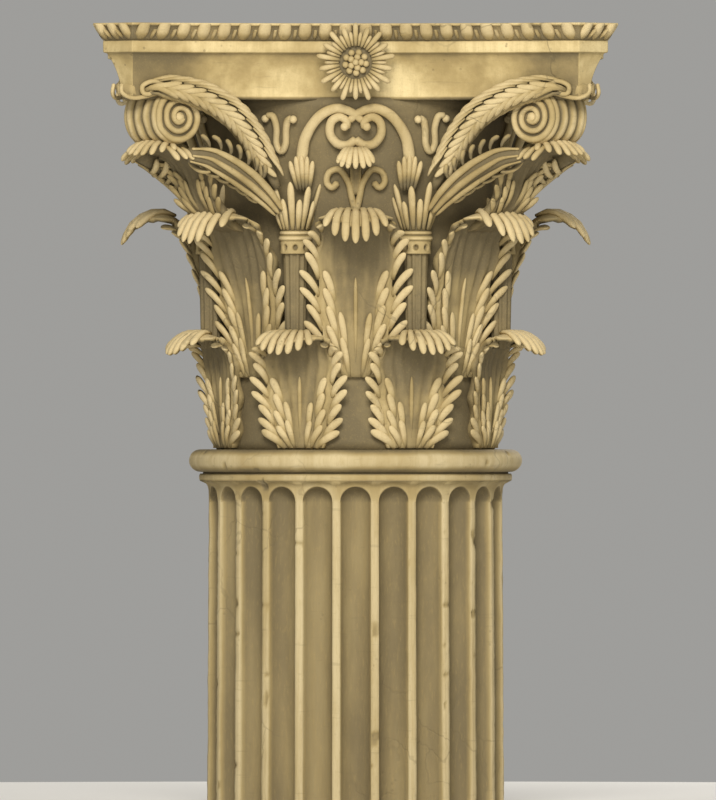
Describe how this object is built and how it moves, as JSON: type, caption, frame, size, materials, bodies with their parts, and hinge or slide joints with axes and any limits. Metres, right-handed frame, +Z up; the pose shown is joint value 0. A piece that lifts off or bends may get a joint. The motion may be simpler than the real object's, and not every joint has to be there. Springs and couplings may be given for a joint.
{
  "type": "fluted corinthian column top",
  "caption": "Top of a round fluted stone column with a carved Corinthian capital: leaves, corner volutes, flowers and a horned abacus with an egg moulding.",
  "frame": {"origin": "on the column's axis, in the flat cut under the shaft", "axes": "+Z up along the column's axis, front (a side of the abacus) towards -Y"},
  "size_m": [0.882, 0.882, 1.3153],
  "materials": {
    "shaft_stone": "weathered ochre limestone, matt, dirt in the flutes",
    "capital_stone": "weathered ochre limestone, matt, pale high points and dark recesses"
  },
  "bodies": {
    "root": {"shaft": "shaft_stone", "capital": "capital_stone"}
  },
  "joints": []
}
